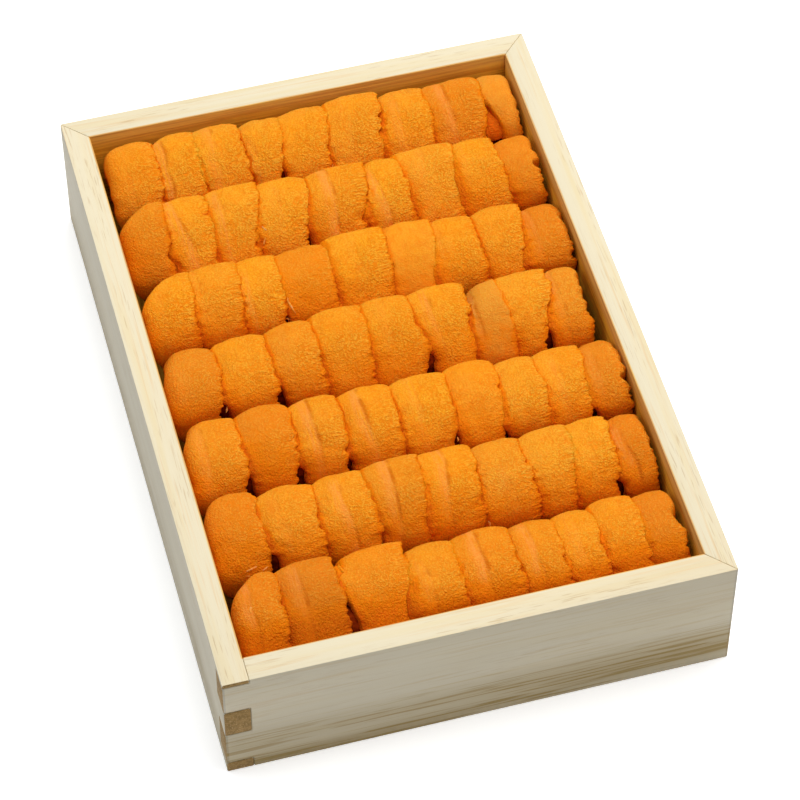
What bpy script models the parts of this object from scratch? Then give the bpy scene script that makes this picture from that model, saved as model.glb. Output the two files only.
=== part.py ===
"""Open wooden tray packed with rows of sea urchin roe.

Four side boards and a bottom board make the tray. Its front left corner is a
finger joint and the other three corners are mitred. Seven rows of plump roe
tongues fill it, nine tongues to a row, each tongue arched over from back to
front and lapping a little over the next one to its right. The tongues of a
row press into each other, so a row is one solid with a hump for each tongue.

Metres, +Z up, +Y to the back of the tray. The origin is under its middle.
"""

import math
import random

import bmesh
import bpy

MM = 0.001

# Tray
TRAY_WIDTH = 115 * MM
TRAY_LENGTH = 166 * MM
TRAY_HEIGHT = 34 * MM
WALL = 6 * MM
FLOOR = 4 * MM
# Clear space between neighbouring pieces
GAP = 0.3 * MM
EASED_EDGE = 0.3 * MM
# The heights where each finger of the front board starts and ends, as shares of the tray's height
FINGERS = ((0.10, 0.42), (0.68, 0.96))

# Roe. The tables go from the back row to the front row and, in a row, from left to right.
# Space that each row takes along the tray, in millimetres
ROW_DEPTHS = (20.5, 21.0, 21.5, 22.0, 22.5, 22.0, 22.5)
# Width of each tongue, in millimetres
TONGUE_WIDTHS = (
    (11.0, 10.5, 11.5, 10.0, 11.0, 13.0, 11.0, 12.0, 10.5),
    (10.0, 11.5, 12.0, 12.0, 13.0, 9.5, 13.0, 9.5, 10.0),
    (11.5, 10.5, 10.5, 12.5, 13.0, 10.0, 11.5, 11.0, 11.0),
    (13.0, 11.5, 10.5, 12.0, 10.0, 14.5, 8.0, 11.5, 8.5),
    (12.5, 12.5, 11.0, 11.5, 12.5, 13.0, 9.5, 9.5, 10.0),
    (11.5, 14.0, 10.5, 13.0, 12.0, 11.5, 11.0, 8.5, 8.5),
    (10.0, 14.0, 13.5, 12.0, 13.0, 10.0, 8.5, 9.0, 9.5),
)
# How far the crest of each tongue leans to the back, in millimetres
TONGUE_LEANS = (
    (1.5, 1.5, 1.0, 0.0, 1.0, 3.0, 1.0, 1.0, 0.0),
    (3.0, 3.0, 3.0, 1.5, 1.5, 0.5, 4.0, 1.5, -1.0),
    (0.0, 0.5, 0.0, 0.0, 2.5, 2.0, 0.0, 1.0, -2.5),
    (-2.0, -1.0, 0.0, 2.5, 3.0, 3.5, 2.5, 2.0, 0.0),
    (-0.5, 0.5, -0.5, -0.5, 0.0, 1.0, -2.0, -1.0, -2.5),
    (2.0, -0.5, 0.0, 1.0, 0.5, 0.0, 0.5, 0.5, -1.0),
    (1.0, 2.5, 2.0, -3.0, -2.0, -3.0, -2.0, 0.0, -1.5),
)
ROW_END_SPACE = 1.2 * MM
CREST_BELOW_RIM = 0.8 * MM
# How much lower the end tongues of a row are than the middle one
CREST_CROWN = 1.0 * MM
CREST_UNEVEN = 0.5 * MM
ARCH_HEIGHT = 8.5 * MM
# Exponent of the arch's superellipse: 2 is round and a higher one is squarer
ARCH_FULLNESS = 2.7
ARCH_POINTS = 12
# How far the arch draws in at back and front where it is sunk, as a share of the sink
SIDE_SINK = 0.8
# Sections of one tongue: share of its width, and how far the arch is sunk there
TONGUE_SECTIONS = ((0.03, 1.9 * MM), (0.30, 0.5 * MM), (0.68, 0.0), (0.97, 0.8 * MM))
# Sections that round off the end of a row: distance in from the end, and how far the arch is sunk
ROW_END_SECTIONS = ((0.0, 6.5 * MM), (0.9 * MM, 3.0 * MM))
UNEVENNESS_SEED = 11


def clear_scene():
    for obj in list(bpy.data.objects):
        bpy.data.objects.remove(obj)


def principled(name, colour, roughness):
    material = bpy.data.materials.new(name)
    material.use_nodes = True
    shader = material.node_tree.nodes["Principled BSDF"]
    shader.inputs["Base Color"].default_value = (*colour, 1.0)
    shader.inputs["Roughness"].default_value = roughness
    shader.inputs["Metallic"].default_value = 0.0
    return material


def add_object(name, bm, material):
    """Makes an object of the bmesh, with every face turned outwards."""
    bmesh.ops.recalc_face_normals(bm, faces=bm.faces)
    mesh = bpy.data.meshes.new(name)
    bm.to_mesh(mesh)
    bm.free()
    mesh.materials.append(material)
    obj = bpy.data.objects.new(name, mesh)
    bpy.context.collection.objects.link(obj)
    return obj


def prism(points, direction):
    """A bmesh of the flat outline through the points, extruded along the direction."""
    bm = bmesh.new()
    face = bm.faces.new([bm.verts.new(point) for point in points])
    moved = bmesh.ops.extrude_face_region(bm, geom=[face])["geom"]
    verts = [item for item in moved if isinstance(item, bmesh.types.BMVert)]
    bmesh.ops.translate(bm, verts=verts, vec=direction)
    return bm


def mitre(bm, corner, cut_side):
    """Cuts a board at 45 degrees through an outer corner of the tray, half a gap short of it.

    cut_side holds 1 or -1 in X and in Y, and points to the side that is cut off.
    """
    shift = GAP / 2 / math.sqrt(2)
    place = (corner[0] - cut_side[0] * shift, corner[1] - cut_side[1] * shift, 0.0)
    cut = bmesh.ops.bisect_plane(
        bm,
        geom=bm.verts[:] + bm.edges[:] + bm.faces[:],
        plane_co=place,
        plane_no=(*cut_side, 0.0),
        clear_outer=True,
    )["geom_cut"]
    edges = [item for item in cut if isinstance(item, bmesh.types.BMEdge)]
    bmesh.ops.holes_fill(bm, edges=edges)


def add_board(name, bm, wood):
    board = add_object(name, bm, wood)
    bevel = board.modifiers.new("eased edges", "BEVEL")
    bevel.width = EASED_EDGE
    bevel.segments = 1
    bevel.limit_method = "ANGLE"


def make_front_board(wood):
    """The front board in X and Z: its fingers reach the tray's left face."""
    left = -TRAY_WIDTH / 2
    right = TRAY_WIDTH / 2
    front = -TRAY_LENGTH / 2
    shoulder = left + WALL + GAP
    outline = [(right, 0.0), (right, TRAY_HEIGHT), (shoulder, TRAY_HEIGHT)]
    for low, high in reversed(FINGERS):
        top = high * TRAY_HEIGHT - GAP / 2
        bottom = low * TRAY_HEIGHT + GAP / 2
        outline += [(shoulder, top), (left, top), (left, bottom), (shoulder, bottom)]
    outline.append((shoulder, 0.0))
    bm = prism([(x, front, z) for x, z in outline], (0.0, WALL, 0.0))
    mitre(bm, (right, front), (1, 1))
    add_board("board_front", bm, wood)


def make_left_board(wood):
    """The left board in Y and Z: its front end is notched for the fingers."""
    left = -TRAY_WIDTH / 2
    front = -TRAY_LENGTH / 2
    back = TRAY_LENGTH / 2
    root = front + WALL + GAP
    outline = [(back, 0.0), (back, TRAY_HEIGHT), (front, TRAY_HEIGHT)]
    for low, high in reversed(FINGERS):
        top = high * TRAY_HEIGHT + GAP / 2
        bottom = low * TRAY_HEIGHT - GAP / 2
        outline += [(front, top), (root, top), (root, bottom), (front, bottom)]
    outline.append((front, 0.0))
    bm = prism([(left, y, z) for y, z in outline], (WALL, 0.0, 0.0))
    mitre(bm, (left, back), (1, 1))
    add_board("board_left", bm, wood)


def upright(start, end):
    """The outer face of a plain side board, from one corner of the tray to another."""
    return [(*start, 0.0), (*start, TRAY_HEIGHT), (*end, TRAY_HEIGHT), (*end, 0.0)]


def make_mitred_boards(wood):
    left = -TRAY_WIDTH / 2
    right = TRAY_WIDTH / 2
    front = -TRAY_LENGTH / 2
    back = TRAY_LENGTH / 2
    bm = prism(upright((right, front), (right, back)), (-WALL, 0.0, 0.0))
    mitre(bm, (right, front), (-1, -1))
    mitre(bm, (right, back), (-1, 1))
    add_board("board_right", bm, wood)
    bm = prism(upright((left, back), (right, back)), (0.0, -WALL, 0.0))
    mitre(bm, (left, back), (-1, -1))
    mitre(bm, (right, back), (1, -1))
    add_board("board_back", bm, wood)


def make_bottom_board(wood):
    x = TRAY_WIDTH / 2 - WALL - GAP
    y = TRAY_LENGTH / 2 - WALL - GAP
    outline = [(-x, -y, 0.0), (x, -y, 0.0), (x, y, 0.0), (-x, y, 0.0)]
    add_board("board_bottom", prism(outline, (0.0, 0.0, FLOOR)), wood)


def tongue_sections(row, tongue, left, width):
    """(x, sink) of each section of a tongue that starts at left. It rises from under its left
    neighbour to its crest and ends in a raised right edge, or is rounded off at the row's end."""
    sections = [(left + share * width, sink) for share, sink in TONGUE_SECTIONS]
    if tongue == 0:
        sections[:1] = [(left + inset, sink) for inset, sink in ROW_END_SECTIONS]
    if tongue == len(TONGUE_WIDTHS[row]) - 1:
        right = left + width
        sections[-1:] = [(right - inset, sink) for inset, sink in reversed(ROW_END_SECTIONS)]
    return sections


def row_sections(row, chance):
    """(x, sink, lift, lean) of each section of a row, left to right."""
    span = TRAY_WIDTH - 2 * WALL - 2 * ROW_END_SPACE
    scale = span / sum(TONGUE_WIDTHS[row])
    left = -span / 2
    sections = []
    for tongue, width_mm in enumerate(TONGUE_WIDTHS[row]):
        width = width_mm * scale
        off_middle = (left + width / 2) / (span / 2)
        lift = chance.uniform(-CREST_UNEVEN, CREST_UNEVEN) - CREST_CROWN * off_middle**2
        lean = TONGUE_LEANS[row][tongue] * MM
        for x, sink in tongue_sections(row, tongue, left, width):
            sections.append((x, sink, lift, lean))
        left += width
    return sections


def arch_outline(row, sink, lift, lean):
    """(y, z) from the back foot of a section, over its crest, to its front foot.

    The arch is a superellipse on upright sides, and keeps to the row's share
    of the tray.
    """
    back = TRAY_LENGTH / 2 - WALL - GAP - sum(ROW_DEPTHS[:row]) * MM
    middle = back - ROW_DEPTHS[row] * MM / 2
    reach = (ROW_DEPTHS[row] * MM - GAP) / 2
    half_depth = reach - SIDE_SINK * sink
    spring = TRAY_HEIGHT - CREST_BELOW_RIM - ARCH_HEIGHT
    rise = ARCH_HEIGHT + lift - sink
    foot = FLOOR + GAP
    outline = [(middle + half_depth, foot)]
    for step in range(ARCH_POINTS):
        angle = math.pi * step / (ARCH_POINTS - 1)
        along = math.copysign(abs(math.cos(angle)) ** (2 / ARCH_FULLNESS), math.cos(angle))
        up = abs(math.sin(angle)) ** (2 / ARCH_FULLNESS)
        off_middle = half_depth * along + lean * up
        outline.append((middle + max(-reach, min(reach, off_middle)), spring + rise * up))
    outline.append((middle - half_depth, foot))
    return outline


def make_row(row, chance, roe):
    """One closed skin over the sections of a row."""
    bm = bmesh.new()
    rings = []
    for x, sink, lift, lean in row_sections(row, chance):
        outline = arch_outline(row, sink, lift, lean)
        rings.append([bm.verts.new((x, y, z)) for y, z in outline])
    for ring, following in zip(rings, rings[1:]):
        for i in range(len(ring)):
            j = (i + 1) % len(ring)
            bm.faces.new((ring[i], ring[j], following[j], following[i]))
    bm.faces.new(rings[0])
    bm.faces.new(rings[-1])
    obj = add_object(f"roe_row_{row + 1}", bm, roe)
    obj.data.shade_smooth()
    obj.data.set_sharp_from_angle(angle=math.radians(50))


def main():
    clear_scene()
    wood = principled("pale wood", (0.80, 0.71, 0.52), 0.65)
    make_front_board(wood)
    make_left_board(wood)
    make_mitred_boards(wood)
    make_bottom_board(wood)
    roe = principled("sea urchin roe", (0.83, 0.27, 0.03), 0.5)
    chance = random.Random(UNEVENNESS_SEED)
    for row in range(len(ROW_DEPTHS)):
        make_row(row, chance, roe)


main()
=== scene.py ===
"""Dresses an open wooden tray packed with rows of sea urchin roe.

The frame holds the tray's boards and the rows of roe as plain solids. Here the
boards get tight joints, eased edges and pale straight-grained wood, and each
row becomes nine separate tongues of roe lapped over one another on a smaller
core, with a few loose scraps in the gaps between them.

Metres, +Z up, +Y to the back of the tray. The origin is under its middle.
"""

import math
import random

import bmesh
import bpy
import numpy as np
from mathutils import Matrix, Vector
from mathutils.bvhtree import BVHTree


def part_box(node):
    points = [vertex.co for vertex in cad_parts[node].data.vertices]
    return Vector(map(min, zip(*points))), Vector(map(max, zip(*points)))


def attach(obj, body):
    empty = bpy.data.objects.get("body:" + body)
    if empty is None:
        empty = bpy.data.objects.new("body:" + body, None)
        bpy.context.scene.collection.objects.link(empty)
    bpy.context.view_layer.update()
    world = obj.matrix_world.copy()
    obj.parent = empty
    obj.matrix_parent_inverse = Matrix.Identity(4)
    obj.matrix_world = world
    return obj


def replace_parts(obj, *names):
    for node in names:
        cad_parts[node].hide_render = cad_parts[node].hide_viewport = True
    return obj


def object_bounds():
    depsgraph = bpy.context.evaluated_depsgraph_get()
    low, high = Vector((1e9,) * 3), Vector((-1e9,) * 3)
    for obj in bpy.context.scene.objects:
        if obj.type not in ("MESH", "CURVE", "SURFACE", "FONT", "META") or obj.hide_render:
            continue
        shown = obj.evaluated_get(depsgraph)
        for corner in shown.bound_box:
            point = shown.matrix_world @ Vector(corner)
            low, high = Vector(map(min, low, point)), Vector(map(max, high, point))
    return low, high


bl_info = {
    "name": "Sea Urchin Roe Tray",
    "version": (1, 0, 0),
    "blender": (4, 5, 0),
    "location": "View3D > Sidebar > Roe Tray",
    "description": "Dresses a wooden tray packed with tongues of sea urchin roe",
    "category": "Object",
}

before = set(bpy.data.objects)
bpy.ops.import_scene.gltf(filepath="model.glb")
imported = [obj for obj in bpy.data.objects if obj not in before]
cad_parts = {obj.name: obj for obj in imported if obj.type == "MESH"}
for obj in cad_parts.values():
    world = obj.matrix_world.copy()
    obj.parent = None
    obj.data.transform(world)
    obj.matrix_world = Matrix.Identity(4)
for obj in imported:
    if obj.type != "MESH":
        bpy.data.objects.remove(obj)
CAD_LOW, CAD_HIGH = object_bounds()

MM = 0.001
WIDTH, LENGTH, HEIGHT = CAD_HIGH - CAD_LOW
WALL = HEIGHT * 6 / 34
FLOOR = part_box("board_bottom")[1].z
SPACE = 0.3 * MM
# The same in millimetres: the faces of the walls from the tray's middle, and the rim
OUTER_X, OUTER_Y = WIDTH / MM / 2, LENGTH / MM / 2
INNER_X, INNER_Y = (WIDTH / 2 - WALL) / MM, (LENGTH / 2 - WALL) / MM
RIM = HEIGHT / MM
# The heights where the front board's fingers start and end, as shares of the tray's height
FINGERS = (0.10, 0.42, 0.68, 0.96)

# The frame's rows of roe. The tables go from the back row to the front row and, in a row,
# from left to right, and lengths are in millimetres.
TONGUES = 9
# Space that each row takes along the tray
ROW_DEPTHS = (20.5, 21.0, 21.5, 22.0, 22.5, 22.0, 22.5)
# How far the crest of each tongue leans to the back
TONGUE_LEANS = (
    (1.5, 1.5, 1.0, 0.0, 1.0, 3.0, 1.0, 1.0, 0.0),
    (3.0, 3.0, 3.0, 1.5, 1.5, 0.5, 4.0, 1.5, -1.0),
    (0.0, 0.5, 0.0, 0.0, 2.5, 2.0, 0.0, 1.0, -2.5),
    (-2.0, -1.0, 0.0, 2.5, 3.0, 3.5, 2.5, 2.0, 0.0),
    (-0.5, 0.5, -0.5, -0.5, 0.0, 1.0, -2.0, -1.0, -2.5),
    (2.0, -0.5, 0.0, 1.0, 0.5, 0.0, 0.5, 0.5, -1.0),
    (1.0, 2.5, 2.0, -3.0, -2.0, -3.0, -2.0, 0.0, -1.5),
)
ROW_END_SPACE = 1.2
ROW_SPAN = WIDTH / MM - 2 * WALL / MM - 2 * ROW_END_SPACE
CREST_BELOW_RIM = 0.8
# How much lower the end tongues of a row are than the middle one
CREST_CROWN = 1.0
CREST_UNEVEN = 0.5
ARCH_HEIGHT = 8.5
# Exponents of the arch's superellipse. The front of a tongue is rounder than its back,
# which leans on the row behind.
ARCH_FULLNESS = 2.7
FRONT_FULLNESS = 1.9
# How far the arch draws in at back and front where it is sunk, as a share of the sink
SIDE_SINK = 0.8
# How sharply a tongue that leans is stopped at the edge of its row's space
STOP = 14
# Seeds: UNEVENNESS_SEED is the frame's, and each row has its own roughness
UNEVENNESS_SEED = 11
ROUGHNESS_SEED = 900
SCRAPS_SEED = 700

# A usual tongue: its width, half its depth from back to front, and how far under its crest
# its tips draw in to
USUAL_WIDTH = 11.0
USUAL_REACH = 10.6
TIP_SINK = 2.6
# Mesh of one tongue: faces round its section, of which over its top and as far as its right
# side has turned under, and faces from its back tip to its front tip, of which in each foot
# under the spring of the arch
AROUND = 60
AROUND_TOP = 48
AROUND_TURN = AROUND_TOP + 6
ALONG = 126
FOOT_STEPS = 5
FOOT = 8.0


def smooth(value, low, high):
    """0 at low and 1 at high, with a soft start and end."""
    share = np.clip((value - low) / (high - low), 0.0, 1.0)
    return share * share * (3.0 - 2.0 * share)


def near(distance, reach):
    """1 at no distance, and falling away over the reach."""
    return np.exp(-((distance / reach) ** 2))


class Unevenness:
    """Repeatable smooth noise and rounded heads over a flat sheet."""

    SIZE = 128

    def __init__(self, seed):
        chance = np.random.default_rng(seed)
        self.levels = chance.uniform(-1.0, 1.0, (self.SIZE, self.SIZE))
        self.places = chance.uniform(0.1, 0.9, (2, self.SIZE, self.SIZE))

    def noise(self, x, y=0.0):
        """From -1 to 1, with hills about one unit across."""
        x, y = np.broadcast_arrays(np.asarray(x, float), np.asarray(y, float))
        x0, y0 = np.floor(x), np.floor(y)
        fx, fy = x - x0, y - y0
        fx = fx * fx * fx * (fx * (fx * 6 - 15) + 10)
        fy = fy * fy * fy * (fy * (fy * 6 - 15) + 10)
        i, j = x0.astype(int) % self.SIZE, y0.astype(int) % self.SIZE
        i1, j1 = (i + 1) % self.SIZE, (j + 1) % self.SIZE
        low = self.levels[i, j] * (1 - fx) + self.levels[i1, j] * fx
        high = self.levels[i, j1] * (1 - fx) + self.levels[i1, j1] * fx
        return low * (1 - fy) + high * fy

    def heads(self, x, y):
        """1 on top of each rounded head, 0 between them. They stand about one unit apart."""
        x0, y0 = np.floor(x), np.floor(y)
        nearest = np.full(np.shape(x), 1.0)
        for step_x in (-1, 0, 1):
            for step_y in (-1, 0, 1):
                i = (x0 + step_x).astype(int) % self.SIZE
                j = (y0 + step_y).astype(int) % self.SIZE
                off_x = x0 + step_x + self.places[0, i, j] - x
                off_y = y0 + step_y + self.places[1, i, j] - y
                nearest = np.minimum(nearest, off_x**2 + off_y**2)
        return 1.0 - nearest


# ---------------------------------------------------------------- materials


class Value:
    """One output of a node. Maths on values adds Math nodes."""

    def __init__(self, graph, socket):
        self.graph = graph
        self.socket = socket

    def maths(self, operation, first, second=0.0):
        inputs = {0: first, 1: second}
        return self.graph.node("ShaderNodeMath", {"operation": operation}, inputs)

    def __add__(self, other):
        return self.maths("ADD", self, other)

    def __radd__(self, other):
        return self.maths("ADD", other, self)

    def __sub__(self, other):
        return self.maths("SUBTRACT", self, other)

    def __rsub__(self, other):
        return self.maths("SUBTRACT", other, self)

    def __mul__(self, other):
        return self.maths("MULTIPLY", self, other)

    def __rmul__(self, other):
        return self.maths("MULTIPLY", other, self)

    def __abs__(self):
        return self.maths("ABSOLUTE", self)


class Graph:
    """A new material with a Principled shader, and the nodes that feed it."""

    def __init__(self, name, constants):
        self.material = bpy.data.materials.new(name)
        self.material.use_nodes = True
        self.tree = self.material.node_tree
        self.shader = self.tree.nodes["Principled BSDF"]
        for socket, value in constants.items():
            self.shader.inputs[socket].default_value = value

    def node(self, kind, settings=None, inputs=None, output=0):
        """Adds a node: its settings first, then the values or links of its sockets."""
        made = self.tree.nodes.new(kind)
        for name, value in (settings or {}).items():
            setattr(made, name, value)
        for name, value in (inputs or {}).items():
            self.put(made.inputs[name], value)
        return Value(self, made.outputs[output])

    def put(self, socket, value):
        if isinstance(value, Value):
            self.tree.links.new(value.socket, socket)
        else:
            socket.default_value = value

    def feed(self, **sockets):
        """Links values to the shader's sockets, named with _ for a space."""
        for name, value in sockets.items():
            self.put(self.shader.inputs[name.replace("_", " ")], value)

    def place(self, turn=0.0):
        """The point on the object in millimetres, turned about the upright axis."""
        point = self.node("ShaderNodeTexCoord", output="Object")
        inputs = {"Vector": point, "Rotation": (0.0, 0.0, turn), "Scale": (MM, MM, MM)}
        return self.node("ShaderNodeMapping", {"vector_type": "TEXTURE"}, inputs)

    def parts_of(self, vector):
        node = self.node("ShaderNodeSeparateXYZ", None, {0: vector}).socket.node
        return [Value(self, node.outputs[i]) for i in range(3)]

    def paint(self, name):
        """The four channels of a colour attribute."""
        colour = self.node("ShaderNodeAttribute", {"attribute_name": name}, None, "Color")
        alpha = Value(self, colour.socket.node.outputs["Alpha"])
        return (*self.parts_of(colour), alpha)

    def noise(self, point, size, detail=2.0, roughness=0.5):
        """Noise whose hills are about size across: one number, or three for the three ways."""
        sizes = size if isinstance(size, tuple) else (size, size, size)
        scaled = self.node("ShaderNodeVectorMath", {"operation": "DIVIDE"}, {0: point, 1: sizes})
        inputs = {"Vector": scaled, "Scale": 1.0, "Detail": detail, "Roughness": roughness}
        return self.node("ShaderNodeTexNoise", None, inputs)

    def heads(self, point, size):
        """Rounded heads set close together, size apart: 1 on top of each, falling between."""
        inputs = {"Vector": point, "Scale": 1.0 / size}
        return 1.0 - self.node("ShaderNodeTexVoronoi", {"feature": "F1"}, inputs)

    def rise(self, value, low, high):
        """0 under low and 1 over high."""
        inputs = {"Value": value, "From Min": low, "From Max": high}
        return self.node("ShaderNodeMapRange", {"interpolation_type": "SMOOTHSTEP"}, inputs)

    def mix(self, share, first, second):
        first, second = (c if isinstance(c, Value) else (*c, 1.0) for c in (first, second))
        inputs = {0: share, 6: first, 7: second}
        return self.node("ShaderNodeMix", {"data_type": "RGBA"}, inputs, output=2)

    def layers(self, colour, *coats):
        """Lays coats over a colour, one after another, each by its share."""
        for share, coat in coats:
            colour = self.mix(share, colour, coat)
        return colour

    def bump(self, height, distance):
        return self.node("ShaderNodeBump", None, {"Height": height, "Distance": distance})


def end_grain_material(look):
    """The sawn ends of the boards, darker and browner than their faces."""
    graph = Graph("end grain", {"Specular IOR Level": 0.2, "Roughness": 0.75})
    point = graph.place()
    pores = graph.noise(point, 0.35, 3.0)
    rings = graph.noise(point, (1.2, 3.0, 1.0), 2.0)
    colour = graph.layers(
        look.end_colour,
        (graph.rise(rings, 0.35, 0.65), look.end_dark),
        (graph.rise(pores, 0.5, 0.7) * 0.5, look.fleck_colour),
    )
    graph.feed(Base_Color=colour, Normal=graph.bump(pores, 0.00004))
    return graph.material


def wood_material(name, turn, look):
    """Pale straight-grained wood whose grain runs along X, turned about the upright axis."""
    graph = Graph(name, {"Specular IOR Level": 0.2})
    point = graph.place(turn)
    x, y, z = graph.parts_of(graph.place())
    # Hills of the grain: length and breadth in millimetres
    broad = graph.noise(point, (70.0, 2.6, 2.6), 2.0, 0.6)
    bands = graph.noise(point, (160.0, 7.0, 7.0), 1.0, 0.4)
    fibres = graph.noise(point, (22.0, 0.45, 0.45), 3.0, 0.6)
    streaks = graph.noise(point, (34.0, 0.8, 0.8), 2.0, 0.7)
    pores = graph.noise(point, (5.5, 0.32, 0.32), 1.0, 0.4)
    clumps = graph.noise(point, (26.0, 3.5, 3.5), 1.0)
    flecks = graph.rise(pores, 0.58, 0.72) * graph.rise(clumps, 0.35, 0.65)
    # The outer faces are greyer, which is painted shade, and browner near their foot. Grooves
    # between the fingers count as outer faces, and get the same painted shade.
    low = 1.0 - graph.rise(z, 1.0, 19.0)
    in_grooves = 0.45 * graph.rise(RIM - z, 0.35, 0.45)
    outside_x, outside_y = (
        graph.rise(abs(way) + in_grooves, face - 0.12, face - 0.04)
        for way, face in ((x, OUTER_X), (y, OUTER_Y))
    )
    fine_lines = graph.rise(streaks + 0.4 * (fibres - 0.5), 0.5, 0.62)
    foot = low * (0.6 + 0.8 * graph.rise(bands, 0.35, 0.7)) * (0.6 + 0.4 * fine_lines)
    foot = foot + fine_lines * (0.08 + 0.12 * low)
    # Inside the tray the walls take the roe's orange, more so lower down: partly a real stain
    # from the roe and partly painted reflection of its orange. The right wall is paler near the rim,
    # which is painted light.
    inside_x, inside_y = (
        1.0 - graph.rise(abs(way), face + 0.15, face + 0.5)
        for way, face in ((x, INNER_X), (y, INNER_Y))
    )
    depth = graph.rise(RIM - z + 2.5 * (clumps - 0.5), 0.0, 6.0)
    grain = graph.rise(streaks + 0.5 * (fibres - 0.5), 0.35, 0.65)
    right = graph.rise(x, INNER_X - 0.5, INNER_X - 0.1)
    stain_and_reflection = inside_x * inside_y * (0.85 + 0.15 * depth) * (1.0 - right * (1.0 - depth) * 0.12)
    colour = graph.layers(
        look.wood_colour,
        (graph.rise(broad, 0.42, 0.72), look.straw_colour),
        (graph.rise(bands, 0.5, 0.75) * 0.3, look.band_colour),
        (graph.rise(fibres, 0.5, 0.75) * 0.45, look.straw_colour),
        (graph.rise(streaks, 0.53, 0.7) * 0.7, look.streak_colour),
        (flecks * 0.5, look.fleck_colour),
        (outside_x * 0.7, look.outer_shade_colour),
        (outside_y * 0.6, look.outer_shade_colour),
        ((outside_y + 0.4 * outside_x) * foot, look.foot_colour),
        (stain_and_reflection * look.stain_and_reflection, graph.mix(grain, look.stain_and_reflection_colour, look.stain_and_reflection_dark)),
    )
    relief = fibres + 0.5 * streaks - 0.6 * flecks
    roughness = 0.52 + 0.16 * fibres
    graph.feed(Base_Color=colour, Roughness=roughness, Normal=graph.bump(relief, 0.00006))
    return graph.material


def roe_material(look):
    """Velvety orange roe: fine rounded grain with a painted highlight on its tips and painted shade
    between them, and painted shade, darker and redder, in the creases.
    """
    graph = Graph(
        "sea urchin roe",
        {
            "Subsurface Weight": 0.35,
            "Subsurface Radius": (1.0, 0.6, 0.3),
            "Subsurface Scale": 0.0006,
            "Specular IOR Level": 0.04,
        },
    )
    warmth, dullness, grain, fringe = graph.paint("tone")
    deep, groove, band, dark = graph.paint("creases")
    # Hills of the grain and of the patches, in millimetres
    point = graph.place()
    fine = graph.noise(point, 0.42, 1.0)
    heads = graph.heads(point, 0.5)
    speckle = graph.noise(point, 0.28, 1.0)
    streaks = graph.noise(point, (0.5, 6.0, 6.0), 2.0)
    patches = graph.noise(point, 2.4, 2.0)
    wide = graph.noise(point, 7.0, 1.0)
    comb = graph.noise(point, (1.8, 0.33, 0.33), 1.0)
    curls = 1.0 - graph.rise(abs(fine - 0.5), 0.0, 0.13)
    lines = 1.3 * graph.rise(comb, 0.4, 0.62)
    raised = 0.4 * curls + 0.9 * heads
    raised = raised * (1.0 - 0.45 * fringe) + lines * fringe * 0.45
    uneven = patches - 0.5
    deeper = deep + 0.4 * uneven
    colour = graph.layers(
        look.roe_colour,
        (graph.rise(patches, 0.4, 0.75) * 0.5, look.patch_and_shade_colour),
        (graph.rise(wide, 0.35, 0.7) * 0.4, look.head_colour),
        (warmth * 0.5, look.warm_colour),
        (dullness * 0.6, look.dull_colour),
        (graph.rise(streaks, 0.5, 0.72) * (1.0 - grain) * 0.4, look.streak_and_hollow_shade_colour),
        (band * graph.rise(streaks, 0.3, 0.6) * 0.6, look.band_colour),
        # Painted shade in the hollows between the grain, and a painted highlight on its tips
        ((1.0 - graph.rise(raised, 0.35, 0.85)) * grain * 0.85, look.streak_and_hollow_shade_colour),
        (graph.rise(raised, 0.5, 1.05) * grain * 0.72, look.tip_highlight_colour),
        # Painted shade beside the creases, near the right edges, in the pits, at the foot and under
        # the tongues, redder and patchy, darkest in the creases
        (graph.rise(deeper, 0.0, 0.5), look.patch_and_shade_colour),
        (graph.rise(groove + 0.5 * uneven, 0.05, 1.0) * 0.8, look.groove_colour),
        (graph.rise(deeper, 0.3, 1.0), look.crease_shade_colour),
        (dark, look.dark_and_shade_colour),
    )
    height = raised * (0.08 + 0.92 * grain) + 0.2 * speckle
    normal = graph.bump(height, look.grain_depth)
    graph.feed(Base_Color=colour, Roughness=0.6 - 0.15 * heads, Normal=normal)
    return graph.material


def shaded_core_material(look):
    """The roe under the tongues, painted dark as shade."""
    graph = Graph("shaded roe core", {"Specular IOR Level": 0.0, "Roughness": 0.8})
    patches = graph.noise(graph.place(), 1.5, 3.0)
    colour = graph.mix(graph.rise(patches, 0.35, 0.7), look.core_shade_colour, look.core_shade_dark)
    graph.feed(Base_Color=colour, Normal=graph.bump(patches, 0.0002))
    return graph.material


def film_material(look):
    """Moist pale film."""
    graph = Graph(
        "roe film",
        {
            "Subsurface Weight": 0.3,
            "Subsurface Radius": (1.0, 0.6, 0.3),
            "Subsurface Scale": 0.0004,
            "Specular IOR Level": 0.1,
        },
    )
    patches = graph.noise(graph.place(), 0.8, 2.0)
    colour = graph.mix(graph.rise(patches, 0.4, 0.62), look.film_colour, look.film_dark)
    roughness = 0.35 + 0.2 * patches
    graph.feed(Base_Color=colour, Roughness=roughness, Normal=graph.bump(patches, 0.0001))
    return graph.material


# ------------------------------------------------------------------- boards


def deselect_all():
    if bpy.context.mode != "OBJECT":
        bpy.ops.object.mode_set(mode="OBJECT")
    bpy.ops.object.select_all(action="DESELECT")


def add_block(name, low, high):
    """A box between two corners, as the active object, in edit mode."""
    deselect_all()
    low, high = Vector(low), Vector(high)
    bpy.ops.mesh.primitive_cube_add(size=1.0, location=(low + high) / 2, scale=high - low)
    block = bpy.context.object
    block.name = name
    block.data.name = name
    bpy.ops.object.transform_apply(location=True, rotation=True, scale=True)
    bpy.ops.object.mode_set(mode="EDIT")
    bpy.ops.mesh.select_mode(type="FACE")
    return block


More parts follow.
